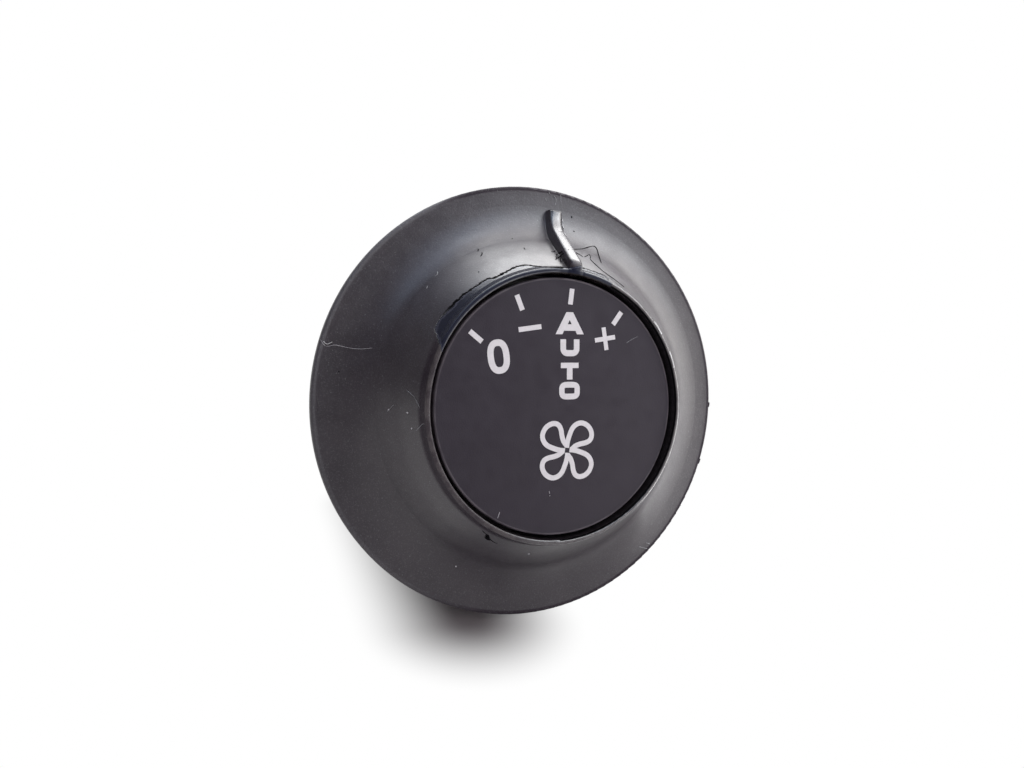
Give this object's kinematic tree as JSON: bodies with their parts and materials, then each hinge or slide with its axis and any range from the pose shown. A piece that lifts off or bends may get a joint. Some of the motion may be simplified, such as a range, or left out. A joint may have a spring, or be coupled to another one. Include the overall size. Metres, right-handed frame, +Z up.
{
  "type": "rotary fan switch",
  "caption": "Dashboard rotary fan switch: a concave knob ring with a pointer rib turns round a fixed flat dial cap, on a clip-in barrel with a rear blade connector.",
  "frame": {"origin": "centre of the panel hole, on the panel's front face, where the flange's back face seats", "axes": "+Y along the knob's axis, into the panel, so the dial faces -Y; +Z up as the dial reads; +X to the driver's right"},
  "size_m": [0.05, 0.0449, 0.05],
  "materials": {
    "soft_black": "soft-touch black, satin, worn at the collar",
    "dial_black": "matt charcoal",
    "housing_black": "glass-filled black, fine texture",
    "clear_acrylic": "clear moulded acrylic",
    "washer_white": "low-friction white",
    "spring_steel": "bright spring steel",
    "board_green": "green solder mask",
    "copper": "copper alloy",
    "resistor_body": "lacquered beige",
    "base_nylon": "natural grey nylon",
    "rotor_nylon": "off-white nylon",
    "lamp_glass": "clear glass",
    "holder_grey": "grey nylon",
    "terminal_brass": "tinned brass"
  },
  "bodies": {
    "housing": {"dial_cap": "dial_black", "light_guide": "clear_acrylic", "front_housing": "housing_black", "thrust_washer": "washer_white", "detent_spring": "spring_steel", "contact_board": "board_green", "contact_tracks": "copper", "resistor_1": "resistor_body", "resistor_2": "resistor_body", "contact_base": "base_nylon", "lamp_bulb": "lamp_glass", "lamp_holder": "holder_grey", "terminal_1": "terminal_brass", "terminal_2": "terminal_brass", "terminal_3": "terminal_brass", "terminal_4": "terminal_brass", "terminal_5": "terminal_brass", "rear_cover": "housing_black", "panel_clip_1": "spring_steel", "panel_clip_2": "spring_steel", "panel_clip_3": "spring_steel"},
    "knob": {"knob_ring": "soft_black", "rotor": "rotor_nylon", "knob_circlip": "spring_steel", "contact_wiper_1": "copper", "contact_wiper_2": "copper"}
  },
  "joints": [
    {"name": "knob_turn", "type": "hinge", "parent": "housing", "child": "knob", "pos_m": [0, 0, 0], "axis": [0, 1, 0], "range_deg": [-58.4, 29.2], "deforming": ["detent_spring"]}
  ]
}
